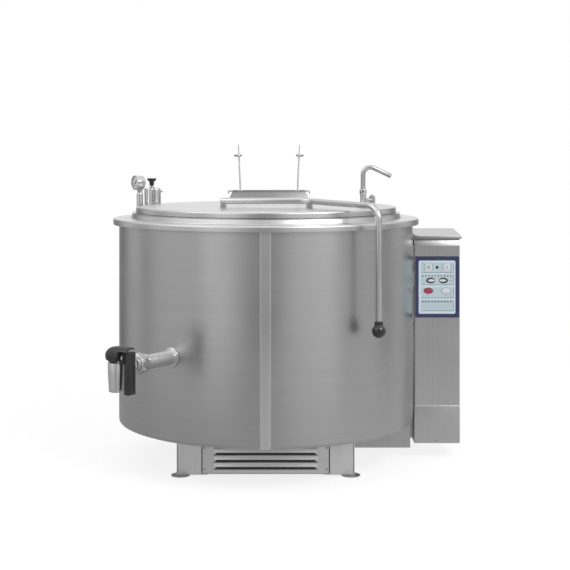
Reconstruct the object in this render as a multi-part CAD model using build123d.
from build123d import *
import math
import os

# A round gas cooking kettle with a steam jacket, a spring balanced lid and a control column.
# The model is built round the kettle's own axis: +X right, -Y to the cook, floor at Z = 0.
# At the end every piece is moved so that the origin lies under the middle of the whole kettle.

# Body and worktop heights
rim_top_z = 900.0
rim_edge_height = 22.0
body_bottom_z = 146.0
rim_overhang = 22.0
cladding_t = 2.0
cladding_edge_r = 12.0
cladding_flange_inset = 5.0
seam_strip_width = 37.0
seam_strip_t = 2.5

# Rim, raised collar and the vessel hung in it
rim_t = 3.0
rim_edge_round = 5.0
collar_height = 17.0
collar_lean = 5.0
rim_ledge = 66.0
fitting_place = 34.0
collar_top_r = 501.0
collar_ledge_width = 21.0
vessel_seat = 51.0
vessel_t = 3.0
vessel_depth = 505.0
vessel_corner_r = 12.0
jacket_space = 40.0
jacket_t = 4.0
jacket_top_drop = 100.0
jacket_corner_r = 20.0
water_space = 77.0
insulation_t = 35.0
skin_gap = 0.3

# Plinth, frame and feet
plinth_half = 315.0
plinth_bottom_z = 9.0
plinth_t = 1.5
frame_bar = 30.0
frame_foot_gap = 3.0
foot_disc_r = 32.0
foot_disc_t = 5.0
foot_stem_r = 8.0
foot_stem_length = 34.0
air_opening_x = 400.0
air_opening_y = 460.0

# Louvred front panel of the plinth
louvre_panel_width = 446.0
louvre_panel_gap = 4.0
louvre_panel_edge = 4.0
louvre_count = 4
louvre_pitch = 25.0
louvre_side_margin = 38.0
louvre_hood_r = 11.0
louvre_first_z = 16.0
louvre_flange = 18.0
screw_head_r = 4.0
screw_head_t = 2.2
screw_head_round = 1.3
screw_shank_r = 1.9
screw_shank_length = 5.0
screw_inset = 7.0
screw_row_low = 16.0
screw_row_high = 92.0

# Combustion chamber, burners and gas line
plate_t = 4.0
plate_edge_gap = 12.0
chamber_inset = 8.0
chamber_t = 3.0
burner_count = 3
burner_pitch = 150.0
burner_r = 25.0
burner_wall = 2.0
burner_left_x = -250.0
burner_right_x = 230.0
burner_height = 69.0
burner_foot_inset = 22.0
burner_foot_width = 12.0
burner_mouth_r = 14.0
manifold_r = 12.0
manifold_x = 258.0
injector_r = 5.0
injector_gap = 3.0
gas_pipe_r = 10.0
gas_pipe_y = 90.0
gas_pipe_drop = 56.0
gas_pipe_bend_r = 24.0
pipe_clearance = 0.5

# Flue at the back
flue_centre_x = 10.0
flue_width = 300.0
flue_gap = 25.0
flue_depth = 90.0
flue_t = 2.0
flue_bottom_height = 39.0
flue_port_width = 220.0
flue_port_height = 100.0
flue_port_rise = 69.0
hood_bottom_height = 45.0
hood_height = 31.0
hood_lip_t = 4.0
hood_foot_width = 337.0
hood_neck_width = 308.0
hood_lip_width = 344.0
hood_lip_drop = 9.0
hood_foot_depth = 108.0
hood_neck_depth = 94.0
hood_lip_depth = 100.0
tie_bar_width = 22.0
tie_bar_t = 4.0
tie_rod_spacing = 242.0
tie_rod_r = 3.5
tie_rod_tip_r = 2.0
tie_rod_low = 10.0
tie_rod_length = 160.0
tie_rod_tip_length = 34.0
tie_rod_splay = 2.4
tie_nut_af = 14.0
tie_nut_height = 5.5
tie_nut_drop = 6.0
wing_nut_drop = 18.0
wing_nut_hub_r = 7.0
wing_nut_height = 12.0
wing_hub_round = 2.0
wing_root = 4.0
wing_length = 20.0
wing_height = 9.0
wing_corner_r = 2.5
short_wing_length = 13.0
short_wing_height = 8.4
wing_t = 3.0
thread_clearance = 0.1

# Lid, hinge and long handle
lid_inset = 13.0
lid_t = 2.0
lid_gap = 3.5
lid_height = 18.5
lid_crown = 4.0
lid_edge_round = 5.0
lid_liner_t = 2.0
lid_liner_height = 2.5
gasket_inset = 8.0
gasket_width = 18.0
gasket_round = 1.5
hinge_place = 29.0
hinge_height = 30.0
hinge_shaft_r = 10.0
running_fit = 0.05
hinge_bracket_x = 150.0
hinge_bracket_t = 16.0
hinge_bracket_r = 16.0
hinge_barrel_r = 17.0
hinge_barrel_bore_r = 12.0
hinge_arm_t = 12.0
hinge_arm_gap = 2.0
hinge_arm_r = 16.0
hinge_arm_height = 7.0
hinge_arm_reach = 135.0
handle_r = 11.0
handle_height = 27.0
handle_y = -200.0
handle_left_x = -165.0
handle_turn_x = 150.0
handle_drop_gap = 51.8
handle_drop_angle = -51.77
handle_drop_fall = 7.0
handle_drop_length = 424.0
handle_turn_r = 60.0
handle_bend_r = 50.0
handle_foot_width = 24.0
handle_foot_depth = 20.0
handle_foot_inset = 12.0
handle_foot_round = 4.0
ball_r = 24.0
ball_neck_r = 15.0
ball_neck_height = 8.0
ball_neck_depth = 7.2

# Water tap on the right of the rim
tap_angle = 43.57
tap_flange_r = 24.0
tap_flange_t = 6.0
tap_body_r = 14.0
tap_body_height = 74.0
tap_nut_r = 15.0
tap_nut_height = 24.0
spout_r = 9.5
spout_plug_depth = 20.0
spout_rise = 106.0
spout_bend_r = 30.0
spout_reach = 121.0
spout_fall = 76.0
tap_stem_r = 5.0
tap_stem_height = 50.0
tap_stem_length = 12.0
tap_stem_depth = 9.0
tap_tab_t = 7.0
tap_tab_width = 24.0
tap_tab_height = 46.0
tap_tab_round = 10.8
water_pipe_r = 7.0
water_pipe_height = 59.0
water_nipple_r = 10.5
water_nipple_length = 26.0
water_nut_r = 17.0
water_nut_t = 5.5

# Pressure gauge and valves on the left of the rim
gauge_angle = 156.19
gauge_column_r = 7.0
gauge_column_insert = 2.0
gauge_foot_nut_af = 24.0
gauge_top_nut_af = 19.2
gauge_nut_height = 14.0
gauge_height = 124.0
gauge_r = 29.0
gauge_depth = 27.0
gauge_bezel = 3.5
gauge_recess = 6.0
gauge_front_round = 2.0
gauge_back_chamfer = 3.0
gauge_dial_t = 1.0
gauge_turn = 54.0
pointer_t = 0.8
pointer_length = 19.0
pointer_tail = 7.0
pointer_hub_r = 3.0
pointer_pin_r = 1.2
pointer_pin_proud = 1.0
pointer_width = 1.6
pointer_rest_angle = 135.0
vent_angle = 151.58
vent_r = 8.0
vent_height = 96.0
vent_hex_af = 19.2
vent_hex_height = 16.0
vent_stem_r = 6.0
vent_cap_height = 22.0
vent_cap_round = 3.2
safety_angle = 145.49
safety_hex_af = 42.0
safety_hex_height = 30.0
safety_r = 25.0
safety_height = 84.0
safety_cone_height = 20.0
safety_neck_r = 13.0
safety_stem_r = 6.0
safety_stem_depth = 30.0
safety_outlet_r = 5.0
safety_outlet_height = 58.0
safety_outlet_reach = 14.0
knob_foot_r = 13.0
knob_waist_r = 11.5
knob_top_r = 18.5
knob_band = 7.0
knob_round = 3.0
knob_gap = 8.0
knob_height = 27.0

# Drain pipe and lever tap at the front left
drain_angle = 234.0
drain_height = 27.0
drain_pipe_r = 25.5
drain_bore_r = 22.5
drain_pipe_reach = 150.0
drain_pipe_inset = 1.0
drain_boss_r = 44.0
drain_boss_t = 8.0
drain_boss_root = 4.0
drain_boss_chamfer = 3.0
union_af = 77.0
union_grip = 16.0
union_length = 50.0
union_corner_r = 43.1
union_round = 6.0
tap_neck_length = 128.0
tap_neck_r = 24.0
tap_barrel_r = 28.0
tap_barrel_top = 18.0
tap_barrel_bottom = 40.0
seat_bore_r = 16.0
piston_r = 20.0
piston_fit = 0.05
piston_bottom = -26.0
piston_height = 32.0
piston_stem_r = 4.0
piston_lift = 10.0
piston_pin_gap = 1.0
drain_spout_r = 22.0
drain_spout_bottom = 78.0
ear_gap = 36.0
ear_t = 7.0
ear_r = 14.0
pivot_height = 40.0
pivot_r = 5.0
pivot_head_r = 8.0
pivot_head_t = 3.0
pivot_head_round = 1.2
lever_hood_r = 33.0
lever_hood_t = 5.0
lever_hood_round = 6.0
lever_inner_side = 34.0
lever_outer_side = 60.0
lever_front_angle = 112.0
lever_back_angle = 30.0
lever_grip_near = 33.0
lever_grip_width = 43.0
lever_grip_bottom = -88.0
lever_grip_round = 9.0
lever_grip_end_round = 5.4
strainer_r = 26.0
strainer_t = 2.0
strainer_stand = 15.0
strainer_spigot_t = 2.0
strainer_spigot_length = 12.0
strainer_fit = 0.1
strainer_hole_r = 3.5
strainer_holes = 6
strainer_hole_circle_r = 12.0

# Control column at the right
column_gap = 6.0
column_width = 171.0
column_front_y = -27.0
column_depth = 250.0
column_bottom_z = 54.0
column_drop = 107.0
column_t = 2.0
column_corner_r = 4.0
cap_neck_height = 27.0
cap_neck_lean = 10.0
cap_lip_height = 11.0
cap_lip_overhang = 7.0
cap_lip_front = 2.0
cap_lip_step = 2.0
cap_lip_round = 2.0
cap_rise = 14.0
cover_height = 138.0
cover_t = 1.5
cover_round = 8.0
cover_window_inset = 9.0
cover_window_sill = 21.6
cover_screw_offset = 4.0
cover_screw_height = 11.0
label_left_gap = 3.5
label_width = 165.0
label_drop = 268.0
label_height = 229.5
label_t = 2.0
label_corner_r = 3.0
key_window_margin = 8.0
key_gap = 0.3
key_proud = 1.4
key_travel = 0.8
key_depth_behind = 0.6
key_edge_round = 0.84
round_key_r = 10.0
oval_key_width = 34.0
oval_key_height = 21.0
key_row_1_height = 189.0
key_row_2_height = 139.0
key_row_3_height = 100.5
key_off_offset = 50.0
key_on_offset = 119.0
key_down_offset = 58.0
key_up_offset = 105.0
key_red_offset = 49.0
key_white_offset = 115.5
board_gap = 4.0
board_t = 1.6
board_margin = 14.0
plunger_r = 2.5
plunger_gap = 0.3
standoff_r = 4.0

# Service duct, gas valve, gas inlet and cable entry
duct_gap = 12.0
duct_front_y = 0.0
duct_depth = 180.0
duct_height = 115.0
duct_t = 1.5
sleeve_margin = 30.0
sleeve_low = 28.0
sleeve_high = 32.0
valve_place = 80.0
valve_length = 70.0
valve_width = 60.0
valve_height = 55.0
gas_inlet_r = 13.2
gas_inlet_length = 30.0
gas_nut_r = 19.0
gas_nut_t = 6.0
valve_coil_r = 18.0
valve_coil_height = 30.0
valve_rise = 60.0
gland_place = 134.0
gland_z = 120.0
gland_r = 12.0
gland_bore_r = 6.0
gland_length = 22.0
gland_nut_height = 7.7
gland_thread_r = 10.2
bracket_drop = 153.0
bracket_height = 60.0
bracket_width = 40.0
bracket_root = 20.0

# Derived places
rim_bottom_z = rim_top_z - rim_edge_height
collar_top_z = rim_top_z + collar_height
vessel_top_z = collar_top_z + vessel_t
vessel_floor_z = vessel_top_z - vessel_depth
jacket_top_z = vessel_top_z - jacket_top_drop
lid_bottom_z = vessel_top_z + lid_gap
lid_edge_z = lid_bottom_z + lid_height
lid_liner_z = lid_bottom_z + lid_liner_height
handle_z = lid_edge_z + handle_height
handle_drop_z = handle_z - handle_drop_fall
ball_z = handle_drop_z - handle_drop_length
drain_z = vessel_floor_z + drain_height
collar_foot_r = collar_top_r + collar_lean
rim_r = collar_foot_r + rim_ledge
body_r = rim_r - rim_overhang
fitting_r = collar_foot_r + fitting_place
cladding_flange_r = plinth_half + cladding_flange_inset
vessel_r = collar_top_r - vessel_seat
jacket_r = vessel_r + jacket_space
chamber_r = vessel_r - chamber_inset
burner_z = body_bottom_z + burner_height
gas_pipe_z = body_bottom_z - gas_pipe_drop
flue_front_y = body_r + flue_gap
flue_bottom_z = body_bottom_z + flue_bottom_height
flue_port_bottom_z = body_bottom_z + flue_port_rise
hood_bottom_z = rim_top_z + hood_bottom_height
hood_neck_z = hood_bottom_z + hood_height
hood_top_z = hood_neck_z + hood_lip_t
tie_rod_bottom_z = hood_bottom_z + tie_rod_low
tie_rod_shoulder_z = hood_top_z + tie_rod_length
tie_rod_top_z = tie_rod_shoulder_z + tie_rod_tip_length
wing_nut_z = tie_rod_shoulder_z - wing_nut_drop
lid_r = collar_top_r - lid_inset
gasket_r = lid_r - gasket_inset
hinge_y = collar_foot_r + hinge_place
hinge_z = rim_top_z + hinge_height
tap_body_top_z = rim_top_z + tap_body_height
tap_nut_top_z = tap_body_top_z + tap_nut_height
spout_corner_z = tap_nut_top_z + spout_rise
spout_end_z = spout_corner_z - spout_fall
tap_stem_z = rim_top_z + tap_stem_height
water_pipe_bottom_z = body_bottom_z + water_pipe_height
water_nut_start = body_r + skin_gap
water_nipple_end_r = water_nut_start + water_nut_t + water_nipple_length
gauge_z = rim_top_z + gauge_height
vent_top_z = rim_top_z + vent_height
safety_shoulder_z = rim_top_z + safety_height
safety_top_z = safety_shoulder_z + safety_cone_height
safety_outlet_z = rim_top_z + safety_outlet_height
knob_bottom_z = safety_top_z + knob_gap
knob_top_z = knob_bottom_z + knob_height
drain_pipe_end = body_r + drain_pipe_reach
union_start = drain_pipe_end - union_grip
tap_centre = drain_pipe_end + tap_neck_length
column_left_x = body_r + column_gap
column_top_z = rim_top_z - column_drop
label_bottom_z = column_top_z - label_drop
key_row_1_z = label_bottom_z + key_row_1_height
key_row_2_z = label_bottom_z + key_row_2_height
key_row_3_z = label_bottom_z + key_row_3_height
duct_end_x = column_left_x - duct_gap
duct_bottom_z = body_bottom_z - duct_height
sleeve_bottom_z = gas_pipe_z - sleeve_low
sleeve_top_z = gas_pipe_z + sleeve_high
valve_x = column_left_x + valve_place
gland_x = column_left_x + gland_place
bracket_z = column_top_z - bracket_drop
handle_drop_r = rim_r + handle_drop_gap
handle_drop_x = handle_drop_r * math.cos(math.radians(handle_drop_angle))
handle_drop_y = handle_drop_r * math.sin(math.radians(handle_drop_angle))
tap_x = fitting_r * math.cos(math.radians(tap_angle))
tap_y = fitting_r * math.sin(math.radians(tap_angle))
gauge_x = fitting_r * math.cos(math.radians(gauge_angle))
gauge_y = fitting_r * math.sin(math.radians(gauge_angle))
vent_x = fitting_r * math.cos(math.radians(vent_angle))
vent_y = fitting_r * math.sin(math.radians(vent_angle))
safety_x = fitting_r * math.cos(math.radians(safety_angle))
safety_y = fitting_r * math.sin(math.radians(safety_angle))
spout_end_x = tap_x + spout_reach
louvre_length = louvre_panel_width - 2 * louvre_side_margin
jacket_floor_z = vessel_floor_z - vessel_t - water_space
jacket_bottom_z = jacket_floor_z - jacket_t
plate_bottom_z = body_bottom_z + cladding_t
plate_top_z = plate_bottom_z + plate_t
plinth_inner = plinth_half - plinth_t
post_centre = plinth_inner - plinth_t - skin_gap - frame_bar / 2
frame_bottom_z = plinth_bottom_z + frame_foot_gap
column_right_x = column_left_x + column_width
column_back_y = column_front_y + column_depth
column_centre_x = column_left_x + column_width / 2
label_left_x = column_left_x + label_left_gap
flue_back_y = flue_front_y + flue_depth
flue_centre_y = flue_front_y + flue_depth / 2
drain_frame = Plane(
    origin=(0, 0, drain_z),
    x_dir=(math.cos(math.radians(drain_angle)), math.sin(math.radians(drain_angle)), 0),
    z_dir=(0, 0, 1),
).location

parts = {}


def block(x0, x1, y0, y1, z0, z1):
    """A box between two corners."""
    return Pos((x0 + x1) / 2, (y0 + y1) / 2, (z0 + z1) / 2) * Box(x1 - x0, y1 - y0, z1 - z0)


def pillar(radius, z0, z1, x=0.0, y=0.0):
    """An upright cylinder."""
    return Pos(x, y, (z0 + z1) / 2) * Cylinder(radius, z1 - z0)


def bar_x(radius, x0, x1, y=0.0, z=0.0):
    """A cylinder along X."""
    return Pos((x0 + x1) / 2, y, z) * Rot(0, 90, 0) * Cylinder(radius, x1 - x0)


def bar_y(radius, y0, y1, x=0.0, z=0.0):
    """A cylinder along Y."""
    return Pos(x, (y0 + y1) / 2, z) * Rot(90, 0, 0) * Cylinder(radius, y1 - y0)


def hexagon(across_flats, height):
    """A hexagonal prism that stands on Z = 0."""
    return extrude(RegularPolygon(across_flats / 2, 6, major_radius=False), height)


def lathe(points, rounds=None):
    """A profile of (radius, height) points turned about Z, with some of its corners rounded."""
    profile = make_face(Polyline(*[(r, z) for r, z in points], close=True))
    for (r, z), radius in (rounds or {}).items():
        corner = [v for v in profile.vertices() if abs(v.X - r) < 0.01 and abs(v.Y - z) < 0.01]
        profile = fillet(corner, radius)
    return revolve(Plane.XZ * profile, Axis.Z)


def bent_rod(points, radii, radius):
    """A round rod along straight runs joined by tangent bends."""
    path = FilletPolyline(*points, radius=radii)
    start = Plane(origin=path @ 0, z_dir=path % 0)
    return sweep(start * Circle(radius), path)


def oval(width, height, depth):
    """An upright round or oval pad with its front at Y = 0, extending to +Y."""
    outline = Circle(width / 2) if width == height else SlotOverall(width, height)
    return Rot(-90, 0, 0) * extrude(outline, depth)


def make_frame():
    """Welded frame of square bar inside the plinth: a ring under the body, posts and side rails."""
    outer = post_centre + frame_bar / 2
    inner = post_centre - frame_bar / 2
    frame = block(-outer, outer, -outer, outer, body_bottom_z - frame_bar, body_bottom_z)
    frame -= block(-inner, inner, -inner, inner, body_bottom_z - frame_bar, body_bottom_z)
    for sx in (-1, 1):
        for sy in (-1, 1):
            post = Box(frame_bar, frame_bar, body_bottom_z - frame_bar - frame_bottom_z)
            height = (body_bottom_z - frame_bar + frame_bottom_z) / 2
            frame += Pos(sx * post_centre, sy * post_centre, height) * post
            frame -= pillar(foot_stem_r, 0, foot_disc_t + foot_stem_length, sx * post_centre, sy * post_centre)
    for sx in (-1, 1):
        x0 = sx * post_centre - frame_bar / 2
        rail = block(x0, x0 + frame_bar, -inner, inner, frame_bottom_z, frame_bottom_z + frame_bar)
        frame += rail
    parts["base_frame"] = frame


def make_feet():
    """Four levelling feet: a disc on a threaded stem that screws into the frame's posts."""
    feet = []
    for sx in (-1, 1):
        for sy in (-1, 1):
            disc = pillar(foot_disc_r, 0, foot_disc_t)
            disc = chamfer(disc.edges().group_by(Axis.Z)[-1], foot_disc_t / 2)
            stem = pillar(foot_stem_r, foot_disc_t, foot_disc_t + foot_stem_length)
            feet.append(Pos(sx * post_centre, sy * post_centre, 0) * (disc + stem))
    parts["levelling_feet"] = feet


def make_plinth():
    """Bent sheet skirt round the frame, open at the front where the louvred panel goes."""
    h = plinth_half
    i = plinth_inner
    skirt = block(-h, h, -h, h, plinth_bottom_z, body_bottom_z)
    skirt -= block(-i, i, -i, i, plinth_bottom_z, body_bottom_z)
    opening = louvre_panel_width / 2 + louvre_panel_gap
    skirt -= block(-opening, opening, -h, -i, plinth_bottom_z, body_bottom_z)
    for side in (-1, 1):
        x0 = side * (opening - louvre_panel_gap - louvre_flange / 2)
        flange = Box(louvre_flange, plinth_t, body_bottom_z - plinth_bottom_z)
        flange = Pos(x0, -i + plinth_t / 2, (body_bottom_z + plinth_bottom_z) / 2) * flange
        tail = Box(louvre_panel_gap + louvre_flange, plinth_t, body_bottom_z - plinth_bottom_z)
        tail = Pos(side * (opening + louvre_flange / 2 - louvre_panel_gap / 2), 0, 0) * tail
        tail = Pos(0, -i + plinth_t / 2, (body_bottom_z + plinth_bottom_z) / 2) * tail
        skirt += flange + tail
    skirt -= bar_x(gas_pipe_r + pipe_clearance, i, h, gas_pipe_y, gas_pipe_z)
    for x, z in louvre_screw_places():
        skirt -= bar_y(screw_shank_r, -i, -i + plinth_t, x, z)
    parts["plinth_skirt"] = skirt


def louvre_screw_places():
    """Where the four screws of the louvred panel sit."""
    x = louvre_panel_width / 2 - screw_inset
    low = plinth_bottom_z + screw_row_low
    high = plinth_bottom_z + screw_row_high
    return [(-x, low), (x, low), (-x, high), (x, high)]


def make_louvre_panel():
    """Sheet panel with pressed louvres: each hood bulges outward and is open along its lower edge."""
    front = -plinth_half
    half = louvre_panel_width / 2
    bottom = plinth_bottom_z + louvre_panel_edge
    top = body_bottom_z - louvre_panel_edge
    panel = block(-half, half, front, front + plinth_t, bottom, top)
    inner_r = louvre_hood_r - plinth_t
    reach = louvre_length / 2 - louvre_hood_r
    for i in range(louvre_count):
        z = louvre_first_z + i * louvre_pitch
        shell = bar_x(louvre_hood_r, -reach, reach, front, z)
        hollow = bar_x(inner_r, -reach, reach, front, z)
        for side in (-1, 1):
            shell += Pos(side * reach, front, z) * Sphere(louvre_hood_r)
            hollow += Pos(side * reach, front, z) * Sphere(inner_r)
        quarter = block(-half, half, front - louvre_hood_r, front, z, z + louvre_hood_r)
        panel += shell & quarter
        panel -= hollow & block(-half, half, front - louvre_hood_r, front, z, z + louvre_hood_r)
        panel -= block(-reach, reach, front, front + plinth_t, z, z + inner_r)
    for x, z in louvre_screw_places():
        panel -= bar_y(screw_shank_r, front, front + plinth_t, x, z)
    parts["louvre_panel"] = panel


def make_screws():
    """Pan head screws that hold the louvred panel and the column's lower cover."""
    places = [(x, -plinth_half, z) for x, z in louvre_screw_places()]
    places.append((cover_screw_x(), column_front_y - cover_t, cover_screw_z()))
    screws = []
    for x, y, z in places:
        head = bar_y(screw_head_r, y - screw_head_t, y, x, z)
        head = fillet(head.edges().group_by(Axis.Y)[0], screw_head_round)
        screws.append(head + bar_y(screw_shank_r, y, y + screw_shank_length, x, z))
    parts["panel_screws"] = screws


def cover_screw_x():
    return column_centre_x - cover_screw_offset


def cover_screw_z():
    return column_bottom_z + cover_screw_height


def make_cladding():
    """Round outer wall with a rolled bottom edge and a flange that rests on the frame."""
    r = body_r
    t = cladding_t
    top = rim_top_z - rim_t
    low = body_bottom_z
    points = [(r, top), (r, low), (cladding_flange_r, low), (cladding_flange_r, low + t), (r - t, low + t), (r - t, top)]
    wall = lathe(points, {(r, low): cladding_edge_r, (r - t, low + t): cladding_edge_r - t})
    wall -= drain_frame * bar_x(drain_pipe_r + pipe_clearance, jacket_r, body_r + cladding_t)
    wall -= flue_port(pipe_clearance, 0, body_r)
    wall -= water_nipple_bore(pipe_clearance)
    parts["body_cladding"] = wall


def make_seam_strip():
    """Strip that covers the cladding's joint at the front."""
    strip = pillar(body_r + seam_strip_t, body_bottom_z + cladding_edge_r, rim_bottom_z)
    strip -= pillar(body_r, body_bottom_z, rim_top_z)
    half = seam_strip_width / 2
    strip &= block(-half, half, -body_r - seam_strip_t, -body_r / 2, body_bottom_z, rim_top_z)
    parts["front_seam_strip"] = strip


def make_bottom_plate():
    """Floor plate of the body, with the opening that lets air up to the burners."""
    plate = pillar(body_r - plate_edge_gap, plate_bottom_z, plate_top_z)
    x = air_opening_x / 2
    y = air_opening_y / 2
    plate -= block(-x, x, -y, y, plate_bottom_z, plate_top_z)
    plate -= pillar(gas_pipe_r + pipe_clearance, plate_bottom_z, plate_top_z, manifold_x, gas_pipe_y)
    parts["bottom_plate"] = plate


def make_rim():
    """Worktop ring with a turned down edge and the raised collar that carries the vessel."""
    t = rim_t
    ledge_r = collar_top_r - collar_ledge_width
    points = [
        (rim_r, rim_bottom_z),
        (rim_r, rim_top_z),
        (collar_foot_r, rim_top_z),
        (collar_top_r, collar_top_z),
        (ledge_r, collar_top_z),
        (ledge_r, collar_top_z - t),
        (collar_top_r - t, collar_top_z - t),
        (collar_foot_r - t, rim_top_z - t),
        (rim_r - t, rim_top_z - t),
        (rim_r - t, rim_bottom_z),
    ]
    parts["rim_ring"] = lathe(points, {(rim_r, rim_top_z): rim_edge_round, (rim_r - t, rim_top_z - t): rim_edge_round - t})


def make_vessel():
    """Cooking vessel: straight wall, rounded bottom corner and a flange on the collar."""
    t = vessel_t
    r = vessel_r
    low = vessel_floor_z
    points = [
        (0, low - t),
        (r + t, low - t),
        (r + t, collar_top_z),
        (collar_top_r, collar_top_z),
        (collar_top_r, vessel_top_z),
        (r, vessel_top_z),
        (r, low),
        (0, low),
    ]
    vessel = lathe(points, {(r + t, low - t): vessel_corner_r + t, (r, low): vessel_corner_r})
    vessel -= drain_frame * bar_x(drain_pipe_r, vessel_r - vessel_corner_r, vessel_r + 2 * vessel_t)
    parts["cooking_vessel"] = vessel


def make_jacket():
    """Steam jacket round the vessel, welded to its wall at the top."""
    t = jacket_t
    r = jacket_r
    wall = vessel_r + vessel_t
    points = [
        (0, jacket_bottom_z),
        (r + t, jacket_bottom_z),
        (r + t, jacket_top_z),
        (wall, jacket_top_z),
        (wall, jacket_top_z - t),
        (r, jacket_top_z - t),
        (r, jacket_floor_z),
        (0, jacket_floor_z),
    ]
    rounds = {(r + t, jacket_bottom_z): jacket_corner_r + t, (r, jacket_floor_z): jacket_corner_r}
    jacket = lathe(points, rounds)
    jacket -= drain_frame * bar_x(drain_pipe_r, vessel_r, body_r)
    parts["steam_jacket"] = jacket


def make_insulation():
    """Blanket between the jacket and the cladding."""
    inner = jacket_r + jacket_t + skin_gap
    blanket = pillar(inner + insulation_t, jacket_bottom_z, jacket_top_z)
    blanket -= pillar(inner, jacket_bottom_z, jacket_top_z)
    blanket -= drain_frame * bar_x(drain_pipe_r + pipe_clearance, vessel_r, body_r)
    parts["insulation_blanket"] = blanket


def make_chamber():
    """Sheet drum under the jacket that holds the flames, with a port to the flue."""
    drum = pillar(chamber_r, plate_top_z, jacket_bottom_z) - pillar(chamber_r - chamber_t, plate_top_z, jacket_bottom_z)
    drum -= flue_port(pipe_clearance, 0, body_r)
    parts["combustion_chamber"] = drum


def make_burners():
    """Tubular burners side by side, each on two feet, with an air and gas mouth at the right."""
    burners = []
    for i in range(burner_count):
        y = (i - (burner_count - 1) / 2) * burner_pitch
        tube = bar_x(burner_r, burner_left_x, burner_right_x, y, burner_z)
        for x in (burner_left_x + burner_foot_inset, burner_right_x - burner_foot_inset):
            half = burner_foot_width / 2
            tube += block(x - half, x + half, y - burner_r, y + burner_r, plate_top_z, burner_z)
        tube -= bar_x(burner_r - burner_wall, burner_left_x + burner_wall, burner_right_x - burner_wall, y, burner_z)
        tube -= bar_x(burner_mouth_r, burner_right_x - burner_wall, burner_right_x, y, burner_z)
        burners.append(tube)
    parts["burner_tubes"] = burners


def make_manifold():
    """Gas pipe with an injector at each burner's mouth, fed from the column through the duct."""
    reach = (burner_count - 1) / 2 * burner_pitch + burner_r
    pipe = bar_y(manifold_r, -reach, reach, manifold_x, burner_z)
    for i in range(burner_count):
        y = (i - (burner_count - 1) / 2) * burner_pitch
        pipe += bar_x(injector_r, burner_right_x - injector_gap, manifold_x, y, burner_z)
    route = [
        (manifold_x, gas_pipe_y, burner_z),
        (manifold_x, gas_pipe_y, gas_pipe_z),
        (valve_x, gas_pipe_y, gas_pipe_z),
        (valve_x, gas_pipe_y, gas_pipe_z + valve_rise),
    ]
    pipe += bent_rod(route, gas_pipe_bend_r, gas_pipe_r)
    parts["gas_manifold"] = pipe


def make_gas_valve():
    """Gas valve block in the column, with the inlet nipple through the column's back."""
    low = gas_pipe_z + valve_rise
    x0 = valve_x - valve_width / 2
    y0 = gas_pipe_y - valve_length / 2
    valve = block(x0, x0 + valve_width, y0, y0 + valve_length, low, low + valve_height)
    z = low + valve_height / 2
    valve += bar_y(gas_inlet_r, y0 + valve_length, column_back_y + gas_nut_t + gas_inlet_length, valve_x, z)
    valve += bar_y(gas_nut_r, column_back_y, column_back_y + gas_nut_t, valve_x, z)
    valve += pillar(valve_coil_r, low + valve_height, low + valve_height + valve_coil_height, valve_x, gas_pipe_y)
    parts["gas_valve"] = valve


def gas_inlet_z():
    return gas_pipe_z + valve_rise + valve_height / 2


def flue_port(margin, y0, y1):
    """The space that the flue's horizontal branch takes."""
    half = flue_port_width / 2 + margin
    return block(
        flue_centre_x - half,
        flue_centre_x + half,
        y0,
        y1,
        flue_port_bottom_z - margin,
        flue_port_bottom_z + flue_port_height + margin,
    )


def make_flue():
    """Flue duct: a branch from the chamber to the stack that climbs behind the body."""
    half = flue_width / 2
    t = flue_t
    x = flue_centre_x
    stack = block(x - half, x + half, flue_front_y, flue_back_y, flue_bottom_z, hood_bottom_z)
    branch = flue_port(0, chamber_r - burner_r, flue_front_y)
    stack += branch - pillar(chamber_r - chamber_t, plate_top_z, jacket_bottom_z)
    stack -= block(x - half + t, x + half - t, flue_front_y + t, flue_back_y - t, flue_bottom_z + t, hood_bottom_z)
    stack -= flue_port(-t, 0, flue_front_y + t)
    parts["flue_duct"] = stack


def make_hood():
    """Tapered outlet of the flue with a lipped top plate and two bars that hold the tie rods."""
    x = flue_centre_x
    y = flue_centre_y
    foot = Pos(x, y, hood_bottom_z) * Rectangle(hood_foot_width, hood_foot_depth)
    neck = Pos(x, y, hood_neck_z) * Rectangle(hood_neck_width, hood_neck_depth)
    outer = loft([foot, neck])
    t = flue_t
    foot_in = Pos(x, y, hood_bottom_z) * Rectangle(hood_foot_width - 2 * t, hood_foot_depth - 2 * t)
    neck_in = Pos(x, y, hood_neck_z) * Rectangle(hood_neck_width - 2 * t, hood_neck_depth - 2 * t)
    hood = outer - loft([foot_in, neck_in])
    seat = block(
        x - hood_foot_width / 2,
        x + hood_foot_width / 2,
        y - hood_foot_depth / 2,
        y + hood_foot_depth / 2,
        hood_bottom_z,
        hood_bottom_z + t,
    )
    half = flue_width / 2 - t
    seat -= block(x - half, x + half, flue_front_y + t, flue_back_y - t, hood_bottom_z, hood_bottom_z + t)
    hood += seat
    lip_x = hood_lip_width / 2
    lip_y = hood_lip_depth / 2
    lip = block(x - lip_x, x + lip_x, y - lip_y, y + lip_y, hood_neck_z, hood_top_z)
    for side in (-1, 1):
        edge = x + side * (lip_x - t / 2)
        lip += block(edge - t / 2, edge + t / 2, y - lip_y, y + lip_y, hood_neck_z - hood_lip_drop, hood_neck_z)
    open_x = hood_neck_width / 2 - t
    open_y = hood_neck_depth / 2 - t
    lip -= block(x - open_x, x + open_x, y - open_y, y + open_y, hood_neck_z, hood_top_z)
    hood += lip
    for side in (-1, 1):
        bx = x + side * tie_rod_spacing / 2
        half_bar = tie_bar_width / 2
        bar = block(bx - half_bar, bx + half_bar, y - open_y, y + open_y, hood_neck_z, hood_neck_z + tie_bar_t)
        hood += bar
        hood -= tie_rod_place(side) * pillar(tie_rod_r + thread_clearance, tie_rod_bottom_z, hood_top_z + tie_bar_t)
    parts["flue_hood"] = hood


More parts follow.
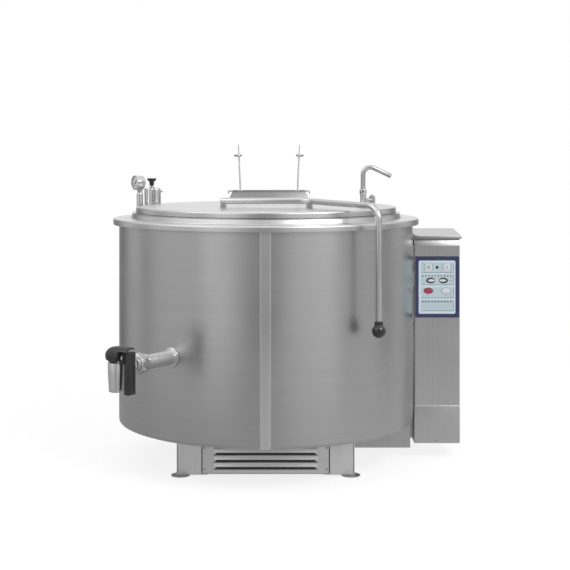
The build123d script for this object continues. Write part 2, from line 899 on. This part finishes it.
def tie_rod_place(side):
    """The rods lean outward a little about their foot in the hood's bars."""
    foot = Pos(flue_centre_x + side * tie_rod_spacing / 2, flue_centre_y, hood_top_z)
    return foot * Rot(0, side * tie_rod_splay, 0) * Pos(0, 0, -hood_top_z)


def make_tie_rods():
    """Two upright threaded rods with a thin tip, each held by a nut under the hood's bar."""
    rods = []
    for side in (-1, 1):
        rod = pillar(tie_rod_r, tie_rod_bottom_z, tie_rod_shoulder_z)
        rod += pillar(tie_rod_tip_r, tie_rod_shoulder_z, tie_rod_top_z)
        rod += Pos(0, 0, hood_neck_z - tie_nut_drop) * hexagon(tie_nut_af, tie_nut_height)
        rods.append(tie_rod_place(side) * rod)
    parts["tie_rods"] = rods


def make_wing_nuts():
    """Wing nut on each rod: a long wing outward and a short one inward."""
    for name, side in (("wing_nut_left", -1), ("wing_nut_right", 1)):
        hub = pillar(wing_nut_hub_r, wing_nut_z, wing_nut_z + wing_nut_height)
        hub = fillet(hub.edges().group_by(Axis.Z)[-1], wing_hub_round)
        mid = wing_nut_z + wing_nut_height / 2
        long_wing = Box(wing_length - wing_root, wing_t, wing_height)
        long_wing = Pos(side * (wing_length + wing_root) / 2, 0, mid) * long_wing
        long_wing = fillet(long_wing.edges().filter_by(Axis.Y), wing_corner_r)
        short_wing = Box(short_wing_length - wing_root, wing_t, short_wing_height)
        short_wing = Pos(-side * (short_wing_length + wing_root) / 2, 0, mid) * short_wing
        nut = hub + long_wing + short_wing
        nut -= pillar(tie_rod_r + thread_clearance, wing_nut_z, wing_nut_z + wing_nut_height)
        parts[name] = tie_rod_place(side) * nut


def make_lid():
    """Shallow double skinned lid: pressed top, flat liner and a soft seal."""
    t = lid_t
    edge = lid_edge_z
    crown = edge + lid_crown
    points = [(0, crown), (lid_r, edge), (lid_r, lid_bottom_z), (lid_r - t, lid_bottom_z), (lid_r - t, edge - t), (0, crown - t)]
    parts["lid_top"] = lathe(points, {(lid_r, edge): lid_edge_round, (lid_r - t, edge - t): lid_edge_round - t})
    liner_r = lid_r - t - skin_gap
    parts["lid_liner"] = pillar(liner_r, lid_liner_z, lid_liner_z + lid_liner_t)
    gasket = pillar(gasket_r, vessel_top_z + skin_gap, lid_liner_z)
    gasket -= pillar(gasket_r - gasket_width, vessel_top_z + skin_gap, lid_liner_z)
    parts["lid_gasket"] = fillet(gasket.edges().group_by(Axis.Z)[0], gasket_round)


def make_hinge():
    """Rear hinge: brackets on the rim, a spring barrel between them and the shaft with the lid's arms."""
    brackets = []
    base_half = hinge_bracket_r
    for side in (-1, 1):
        x0 = side * hinge_bracket_x - hinge_bracket_t / 2
        x1 = x0 + hinge_bracket_t
        plate = bar_x(hinge_bracket_r, x0, x1, hinge_y, hinge_z)
        plate += block(x0, x1, hinge_y - base_half, hinge_y + base_half, rim_top_z, hinge_z)
        plate -= bar_x(hinge_shaft_r + running_fit, x0, x1, hinge_y, hinge_z)
        brackets.append(plate)
    parts["hinge_brackets"] = brackets
    barrel_end = hinge_bracket_x - hinge_bracket_t / 2
    barrel = bar_x(hinge_barrel_r, -barrel_end, barrel_end, hinge_y, hinge_z)
    barrel -= bar_x(hinge_barrel_bore_r, -barrel_end, barrel_end, hinge_y, hinge_z)
    parts["hinge_spring_barrel"] = barrel
    arm_x = hinge_bracket_x + hinge_bracket_t / 2 + hinge_arm_gap
    shaft = bar_x(hinge_shaft_r, -arm_x - hinge_arm_t, arm_x + hinge_arm_t, hinge_y, hinge_z)
    for side in (-1, 1):
        x0 = side * (arm_x + hinge_arm_t / 2) - hinge_arm_t / 2
        x1 = x0 + hinge_arm_t
        arm = bar_x(hinge_arm_r, x0, x1, hinge_y, hinge_z)
        low = lid_edge_z + lid_crown
        arm += block(x0, x1, hinge_y - hinge_arm_reach, hinge_y, low - lid_crown, low + hinge_arm_height)
        shaft += arm
    parts["lid_hinge_shaft"] = shaft - parts["lid_top"]


def make_handle():
    """Long lid handle: a bar across the lid that bends forward and hangs down outside the rim."""
    path = [
        (handle_left_x, handle_y, handle_z),
        (handle_turn_x, handle_y, handle_z),
        (handle_drop_x, handle_drop_y, handle_drop_z),
        (handle_drop_x, handle_drop_y, ball_z + ball_r),
    ]
    rod = bent_rod(path, [handle_turn_r, handle_bend_r], handle_r)
    bar = rod
    for x in (handle_left_x + handle_foot_inset, handle_turn_x - handle_foot_inset):
        w = handle_foot_width / 2
        d = handle_foot_depth / 2
        foot = block(x - w, x + w, handle_y - d, handle_y + d, lid_bottom_z, handle_z)
        foot = fillet(foot.edges().filter_by(Axis.Z), handle_foot_round)
        foot -= parts["lid_top"]
        bar += foot.solids().sort_by(Axis.Z)[-1]
    parts["lid_handle_bar"] = bar
    ball = Pos(handle_drop_x, handle_drop_y, ball_z) * Sphere(ball_r)
    neck_low = ball_z + ball_r - ball_neck_depth
    ball += pillar(ball_neck_r, neck_low, ball_z + ball_r + ball_neck_height, handle_drop_x, handle_drop_y)
    parts["handle_ball"] = ball - rod


def water_nipple_bore(margin):
    """The space of the water nipple that comes out of the body at the back."""
    nipple = bar_x(water_nipple_r + margin, fitting_r, water_nipple_end_r)
    return Pos(0, 0, water_pipe_bottom_z) * Rot(0, 0, tap_angle) * nipple


def make_water_tap():
    """Filling tap: riser pipe in the body, tap on the rim, swivelling spout and a side lever."""
    low = rim_top_z + tap_flange_t
    pipe = pillar(water_pipe_r, water_pipe_bottom_z, rim_top_z, tap_x, tap_y)
    pipe += water_nipple_bore(0)
    collar = bar_x(water_nut_r, water_nut_start, water_nut_start + water_nut_t)
    pipe += Pos(0, 0, water_pipe_bottom_z) * Rot(0, 0, tap_angle) * collar
    pipe += Pos(tap_x, tap_y, water_pipe_bottom_z) * Sphere(water_pipe_r)
    parts["water_pipe"] = pipe
    parts["rim_ring"] -= pillar(water_pipe_r, rim_bottom_z, rim_top_z, tap_x, tap_y)
    body = pillar(tap_flange_r, rim_top_z, low, tap_x, tap_y)
    body += pillar(tap_body_r, low, tap_body_top_z, tap_x, tap_y)
    body += Pos(tap_x, tap_y, tap_body_top_z) * hexagon(tap_nut_r * 2, tap_nut_top_z - tap_body_top_z)
    bore_low = tap_nut_top_z - spout_plug_depth
    body -= pillar(spout_r + running_fit, bore_low, tap_nut_top_z, tap_x, tap_y)
    stem_x = tap_x + tap_body_r
    stem_root = stem_x - tap_stem_depth
    body -= bar_x(tap_stem_r + running_fit, stem_root, stem_x + tap_stem_r, tap_y, tap_stem_z)
    parts["water_tap_body"] = body
    route = [
        (tap_x, tap_y, bore_low),
        (tap_x, tap_y, spout_corner_z),
        (spout_end_x, tap_y, spout_end_z),
    ]
    parts["water_tap_spout"] = bent_rod(route, spout_bend_r, spout_r)
    tab_x = stem_x + tap_stem_length
    tab = block(
        tab_x,
        tab_x + tap_tab_t,
        tap_y - tap_tab_width / 2,
        tap_y + tap_tab_width / 2,
        tap_stem_z - tap_tab_width / 2,
        tap_stem_z - tap_tab_width / 2 + tap_tab_height,
    )
    tab = fillet(tab.edges().filter_by(Axis.X), tap_tab_round)
    parts["water_tap_lever"] = tab + bar_x(tap_stem_r, stem_root + skin_gap, tab_x, tap_y, tap_stem_z)


def gauge_place():
    """The gauge stands upright with its face turned to the front left."""
    return Pos(gauge_x, gauge_y, gauge_z) * Rot(0, 0, -gauge_turn) * Rot(90, 0, 0)


def make_gauge():
    """Pressure gauge on its column: case with a bezel, dial and pointer. At rest it shows no pressure."""
    stem = pillar(gauge_column_r, rim_top_z, gauge_z - gauge_r + gauge_column_insert, gauge_x, gauge_y)
    stem += Pos(gauge_x, gauge_y, rim_top_z) * hexagon(gauge_foot_nut_af, gauge_nut_height)
    nut_z = gauge_z - gauge_r - gauge_nut_height
    stem += Pos(gauge_x, gauge_y, nut_z) * hexagon(gauge_top_nut_af, gauge_nut_height)
    case = Cylinder(gauge_r, gauge_depth)
    case = fillet(case.edges().group_by(Axis.Z)[-1], gauge_front_round)
    case = chamfer(case.edges().group_by(Axis.Z)[0], gauge_back_chamfer)
    face_z = gauge_depth / 2 - gauge_recess
    case -= pillar(gauge_r - gauge_bezel, face_z, gauge_depth / 2)
    case = gauge_place() * case
    parts["gauge_case"] = case
    parts["gauge_column"] = stem - case
    dial = pillar(gauge_r - gauge_bezel, face_z, face_z + gauge_dial_t)
    dial += pillar(pointer_pin_r, face_z, face_z + gauge_dial_t + pointer_t + pointer_pin_proud)
    parts["gauge_dial"] = gauge_place() * dial
    low = face_z + gauge_dial_t + skin_gap
    needle = Pos(0, (pointer_length - pointer_tail) / 2, low + pointer_t / 2)
    needle = needle * Box(pointer_width, pointer_length + pointer_tail, pointer_t)
    needle += pillar(pointer_hub_r, low, low + pointer_t)
    needle -= pillar(pointer_pin_r + running_fit, low, low + pointer_t)
    parts["gauge_pointer"] = gauge_place() * Rot(0, 0, pointer_rest_angle) * needle


def make_vent():
    """Air vent of the jacket: a slim column with a hexagon and a rounded cap."""
    cap_low = vent_top_z - vent_cap_height
    vent = Pos(vent_x, vent_y, rim_top_z) * hexagon(vent_hex_af, vent_hex_height)
    vent += pillar(vent_stem_r, rim_top_z, cap_low, vent_x, vent_y)
    cap = pillar(vent_r, cap_low, vent_top_z, vent_x, vent_y)
    vent += fillet(cap.edges().group_by(Axis.Z)[-1], vent_cap_round)
    parts["jacket_vent"] = vent


def make_safety_valve():
    """Safety valve: hexagon foot, round body with a shoulder, and the black test knob on its stem."""
    body = Pos(safety_x, safety_y, rim_top_z) * hexagon(safety_hex_af, safety_hex_height)
    low = rim_top_z + safety_hex_height
    shape = lathe([(0, low), (safety_r, low), (safety_r, safety_shoulder_z), (safety_neck_r, safety_top_z), (0, safety_top_z)])
    body += Pos(safety_x, safety_y, 0) * shape
    stem_low = safety_top_z - safety_stem_depth
    body -= pillar(safety_stem_r + running_fit, stem_low, safety_top_z, safety_x, safety_y)
    outlet_end = safety_x + safety_r + safety_outlet_reach
    body += bar_x(safety_outlet_r, safety_x, outlet_end, safety_y, safety_outlet_z)
    parts["safety_valve_body"] = body
    mid = (knob_bottom_z + knob_top_z) / 2
    points = [
        (0, knob_bottom_z),
        (knob_foot_r, knob_bottom_z),
        (knob_waist_r, mid),
        (knob_top_r, knob_top_z - knob_band),
        (knob_top_r, knob_top_z),
        (0, knob_top_z),
    ]
    knob = Pos(safety_x, safety_y, 0) * lathe(points, {(knob_top_r, knob_top_z): knob_round})
    knob += pillar(safety_stem_r, stem_low + skin_gap, knob_bottom_z, safety_x, safety_y)
    parts["safety_valve_knob"] = knob


def make_drain():
    """Drain line: pipe from the vessel's floor, cover ring, union nut, lever tap and its strainer."""
    start = vessel_r - drain_pipe_inset
    pipe = bar_x(drain_pipe_r, start, drain_pipe_end) - bar_x(drain_bore_r, start, drain_pipe_end)
    inside = Pos(0, 0, -drain_z) * pillar(vessel_r, vessel_floor_z, rim_top_z)
    parts["drain_pipe"] = drain_frame * (pipe - inside)
    boss = bar_x(drain_boss_r, body_r - drain_boss_root, body_r + drain_boss_t)
    boss = chamfer(boss.edges().group_by(Axis.X)[-1], drain_boss_chamfer)
    boss -= bar_x(drain_pipe_r, body_r - drain_boss_root, body_r + drain_boss_t)
    boss -= Pos(0, 0, -drain_z) * pillar(body_r, body_bottom_z, rim_top_z)
    parts["drain_cover_ring"] = drain_frame * boss
    nut = Pos(union_start, 0, 0) * Rot(0, 90, 0) * Rot(0, 0, 30) * hexagon(union_af, union_length)
    rounded = bar_x(union_corner_r, union_start, union_start + union_length)
    nut = nut & fillet(rounded.edges(), union_round)
    nut -= bar_x(drain_pipe_r, union_start, drain_pipe_end)
    nut -= bar_x(tap_neck_r, drain_pipe_end, union_start + union_length)
    parts["union_nut"] = drain_frame * nut
    make_drain_tap()
    make_strainer()


def make_drain_tap():
    """Lever tap: body with a lift piston, ears, lever with its grip, and the pivot pin."""
    c = tap_centre
    body = Pos(c, 0, 0) * pillar(tap_barrel_r, -tap_barrel_bottom, tap_barrel_top)
    body += bar_x(tap_neck_r, drain_pipe_end, c)
    body += Pos(c, 0, 0) * pillar(drain_spout_r, -drain_spout_bottom, -tap_barrel_bottom)
    ear_out = ear_gap / 2 + ear_t
    for side in (-1, 1):
        y0 = side * (ear_gap / 2 + ear_t / 2) - ear_t / 2
        ear = bar_y(ear_r, y0, y0 + ear_t, c, pivot_height)
        ear += block(c - ear_r, c + ear_r, y0, y0 + ear_t, 0, pivot_height)
        body += ear
    body -= bar_x(drain_bore_r, drain_pipe_end, c)
    body -= Pos(c, 0, 0) * pillar(piston_r + piston_fit, piston_bottom, tap_barrel_top)
    body -= Pos(c, 0, 0) * pillar(seat_bore_r, -drain_spout_bottom, piston_bottom)
    body -= bar_y(pivot_r + running_fit, -ear_out, ear_out, c, pivot_height)
    body -= block(c - ear_r, c + ear_r, -ear_gap / 2, ear_gap / 2, tap_barrel_top, pivot_height + ear_r)
    parts["drain_tap_body"] = drain_frame * body
    piston = Pos(c, 0, 0) * pillar(piston_r, piston_bottom, piston_bottom + piston_height)
    piston_top = pivot_height - pivot_r - piston_lift - piston_pin_gap
    piston += Pos(c, 0, 0) * pillar(piston_stem_r, 0, piston_top)
    parts["drain_tap_piston"] = drain_frame * piston
    side_in = -lever_inner_side
    side_out = lever_outer_side
    hood = bar_y(lever_hood_r, side_in - lever_hood_t, side_out, 0, 0)
    hollow = bar_y(lever_hood_r - lever_hood_t, side_in, lever_grip_near, 0, 0)
    hood = fillet(hood.edges(), lever_hood_round) - hollow
    wedge = make_face(
        Polyline(
            (0, 0),
            polar(lever_front_angle),
            polar(lever_front_angle / 2),
            polar(0),
            polar(-lever_back_angle),
            close=True,
        )
    )
    wedge = Rot(90, 0, 0) * extrude(wedge, side_out + lever_hood_t, both=True)
    ends = bar_y(ear_r, side_in - lever_hood_t, side_in) + bar_y(ear_r, lever_grip_near, side_out)
    hood = (hood & wedge) + ends
    grip_low = lever_grip_bottom - pivot_height
    half = lever_grip_width / 2
    grip = block(-half, half, lever_grip_near, side_out, grip_low, 0)
    grip = fillet(grip.edges().filter_by(Axis.Z), lever_grip_round)
    grip = fillet(grip.edges().group_by(Axis.Z)[0], lever_grip_end_round)
    lever = Pos(c, 0, pivot_height) * (hood + grip)
    pin = bar_y(pivot_r, side_in, side_out, c, pivot_height)
    head = bar_y(pivot_head_r, side_out, side_out + pivot_head_t, c, pivot_height)
    pin += fillet(head.edges().group_by(Axis.Y)[-1], pivot_head_round)
    parts["drain_lever"] = drain_frame * (lever + pin)


def polar(angle):
    """A point well outside the hood, at an angle from straight up towards the front of the tap."""
    reach = lever_hood_r * 3
    return (reach * math.sin(math.radians(angle)), reach * math.cos(math.radians(angle)))


def make_strainer():
    """Perforated cap with a spigot that pushes into the drain pipe's mouth."""
    start = vessel_r - drain_pipe_inset
    inner_face = vessel_r - strainer_stand
    cap = bar_x(strainer_r, inner_face - strainer_t, inner_face)
    for i in range(strainer_holes):
        angle = 2 * math.pi * i / strainer_holes
        y = strainer_hole_circle_r * math.cos(angle)
        z = strainer_hole_circle_r * math.sin(angle)
        cap -= bar_x(strainer_hole_r, inner_face - strainer_t, inner_face, y, z)
    cap -= bar_x(strainer_hole_r, inner_face - strainer_t, inner_face)
    spigot_r = drain_bore_r - strainer_fit
    spigot = bar_x(spigot_r, inner_face, start + strainer_spigot_length)
    spigot -= bar_x(spigot_r - strainer_spigot_t, inner_face, start + strainer_spigot_length)
    parts["drain_strainer"] = drain_frame * (cap + spigot)


def key_list():
    """Every key of the panel: its name, width, height and centre."""
    d = 2 * round_key_r
    w = oval_key_width
    h = oval_key_height
    x = label_left_x
    return [
        ("key_off", d, d, x + key_off_offset, key_row_1_z),
        ("key_on", d, d, x + key_on_offset, key_row_1_z),
        ("key_down", w, h, x + key_down_offset, key_row_2_z),
        ("key_up", w, h, x + key_up_offset, key_row_2_z),
        ("key_red", w, h, x + key_red_offset, key_row_3_z),
        ("key_white", w, h, x + key_white_offset, key_row_3_z),
    ]


def make_column():
    """Control column: sheet cabinet, sloped cap, lower cover and the spacers to the kettle's body."""
    x0 = column_left_x
    x1 = column_right_x
    y0 = column_front_y
    y1 = column_back_y
    t = column_t
    cabinet = block(x0, x1, y0, y1, column_bottom_z, column_top_z)
    cabinet = fillet(cabinet.edges().filter_by(Axis.Z).group_by(Axis.Y)[0], column_corner_r)
    cabinet -= block(x0 + t, x1 - t, y0 + t, y1 - t, column_bottom_z + t, column_top_z)
    inset = cover_window_inset
    window_top = column_bottom_z + cover_height - inset
    cabinet -= block(x0 + inset, x1 - inset, y0, y0 + t, column_bottom_z + cover_window_sill, window_top)
    cabinet -= key_window()
    cabinet -= bar_x(gas_pipe_r + pipe_clearance, x0, x0 + t, gas_pipe_y, gas_pipe_z)
    cabinet -= bar_y(gas_inlet_r, y1 - t, y1, valve_x, gas_inlet_z())
    cabinet -= bar_y(gland_bore_r + pipe_clearance, y1 - t, y1, gland_x, gland_z)
    cabinet -= bar_y(screw_shank_r, y0, y0 + t, cover_screw_x(), cover_screw_z())
    spacer = block(body_r - bracket_root, x0, -bracket_width / 2, bracket_width / 2, bracket_z, bracket_z + bracket_height)
    parts["column_cabinet"] = cabinet + (spacer - pillar(body_r, body_bottom_z, rim_top_z))

    neck_top = column_top_z + cap_neck_height
    lip_top = neck_top + cap_lip_height
    lean = cap_neck_lean
    neck = make_face(
        Polyline(
            (y0, column_top_z),
            (y0 + lean, neck_top),
            (y1 - lean, neck_top),
            (y1, column_top_z),
            close=True,
        )
    )
    neck = extrude(Plane.YZ * neck, column_width)
    over = cap_lip_overhang
    lip = make_face(
        Polyline(
            (y0 - cap_lip_front, neck_top),
            (y0 - cap_lip_front, lip_top),
            (y1 - lean, lip_top + cap_rise),
            (y1 - lean, neck_top),
            close=True,
        )
    )
    lip = extrude(Plane.YZ * lip, column_width + over - cap_lip_step)
    lip = fillet(lip.edges().filter_by(Axis.X).group_by(Axis.Y)[0], cap_lip_round)
    parts["column_cap"] = Pos(x0, 0, 0) * neck + Pos(x0 + cap_lip_step, 0, 0) * lip

    cover = block(x0, x1, y0 - cover_t, y0, column_bottom_z, column_bottom_z + cover_height)
    cover = fillet(cover.edges().filter_by(Axis.Y).group_by(Axis.Z)[0], cover_round)
    cover -= bar_y(screw_shank_r, y0 - cover_t, y0, cover_screw_x(), cover_screw_z())
    parts["column_lower_cover"] = cover


def key_window():
    """The opening in the column's face behind the keys."""
    xs = [x - w / 2 for _, w, _, x, _ in key_list()] + [x + w / 2 for _, w, _, x, _ in key_list()]
    zs = [z - h / 2 for _, _, h, _, z in key_list()] + [z + h / 2 for _, _, h, _, z in key_list()]
    m = key_window_margin
    y0 = column_front_y
    return block(min(xs) - m, max(xs) + m, y0, y0 + column_t, min(zs) - m, max(zs) + m)


def make_controls():
    """Control panel with its keys, and the board behind them."""
    face = column_front_y - label_t
    panel = block(
        label_left_x,
        label_left_x + label_width,
        face,
        column_front_y,
        label_bottom_z,
        label_bottom_z + label_height,
    )
    panel = fillet(panel.edges().filter_by(Axis.Y), label_corner_r)
    back = column_front_y + key_depth_behind
    for name, w, h, x, z in key_list():
        panel -= Pos(x, face, z) * oval(w + 2 * key_gap, h + 2 * key_gap, label_t)
        pad = oval(w, h, back - face + key_proud)
        pad = fillet(pad.edges().group_by(Axis.Y)[0], key_edge_round)
        parts[name] = Pos(x, face - key_proud, z) * pad
    parts["control_panel"] = panel
    front = column_front_y + column_t + board_gap
    xs = [x for _, _, _, x, _ in key_list()]
    zs = [z for _, _, _, _, z in key_list()]
    m = board_margin
    gap = oval_key_width / 2 + key_window_margin
    x0 = min(xs) - gap - m
    x1 = max(xs) + gap + m
    z0 = min(zs) - gap - m
    z1 = max(zs) + gap + m
    board = block(x0, x1, front, front + board_t, z0, z1)
    for _, _, _, x, z in key_list():
        board += bar_y(plunger_r, back + key_travel + plunger_gap, front, x, z)
    for x in (x0 + m / 2, x1 - m / 2):
        for z in (z0 + m / 2, z1 - m / 2):
            board += bar_y(standoff_r, column_front_y + column_t, front, x, z)
    parts["control_board"] = board


def make_duct():
    """Duct under the body that leads the gas pipe and the wires from the column to the plinth."""
    y0 = duct_front_y
    y1 = duct_front_y + duct_depth
    t = duct_t
    duct = block(plinth_half, duct_end_x, y0, y1, duct_bottom_z, body_bottom_z)
    duct -= block(plinth_half, duct_end_x - t, y0 + t, y1 - t, duct_bottom_z + t, body_bottom_z - t)
    m = sleeve_margin
    sleeve = block(duct_end_x - t, column_left_x, y0 + m, y1 - m, sleeve_bottom_z, sleeve_top_z)
    duct += sleeve
    duct -= block(duct_end_x - t, column_left_x, y0 + m + t, y1 - m - t, sleeve_bottom_z + t, sleeve_top_z - t)
    parts["service_duct"] = duct


def make_gland():
    """Screwed entry for the supply cable at the column's back."""
    y0 = column_back_y
    gland = Pos(gland_x, y0, gland_z) * Rot(-90, 0, 0) * hexagon(gland_r * 2, gland_nut_height)
    gland += bar_y(gland_thread_r, y0, y0 + gland_length, gland_x, gland_z)
    gland -= bar_y(gland_bore_r, y0, y0 + gland_length, gland_x, gland_z)
    parts["cable_gland"] = gland


make_frame()
make_feet()
make_plinth()
make_louvre_panel()
make_screws()
make_cladding()
make_seam_strip()
make_bottom_plate()
make_rim()
make_vessel()
make_jacket()
make_insulation()
make_chamber()
make_burners()
make_manifold()
make_gas_valve()
make_flue()
make_hood()
make_tie_rods()
make_wing_nuts()
make_lid()
make_hinge()
make_handle()
make_water_tap()
make_gauge()
make_vent()
make_safety_valve()
make_drain()
make_column()
make_controls()
make_duct()
make_gland()

groups = {name: shape if isinstance(shape, list) else [shape] for name, shape in parts.items()}
boxes = [shape.bounding_box() for group in groups.values() for shape in group]
middle_x = (min(b.min.X for b in boxes) + max(b.max.X for b in boxes)) / 2
middle_y = (min(b.min.Y for b in boxes) + max(b.max.Y for b in boxes)) / 2
to_origin = Pos(-middle_x, -middle_y, 0)

os.makedirs("parts", exist_ok=True)
for name, group in groups.items():
    solids = [to_origin * solid for shape in group for solid in shape.solids()]
    export_step(solids[0] if len(solids) == 1 else Compound(solids), f"parts/{name}.step")
print("nodes", len(parts), "kettle axis at", round(-middle_x, 3), round(-middle_y, 3))
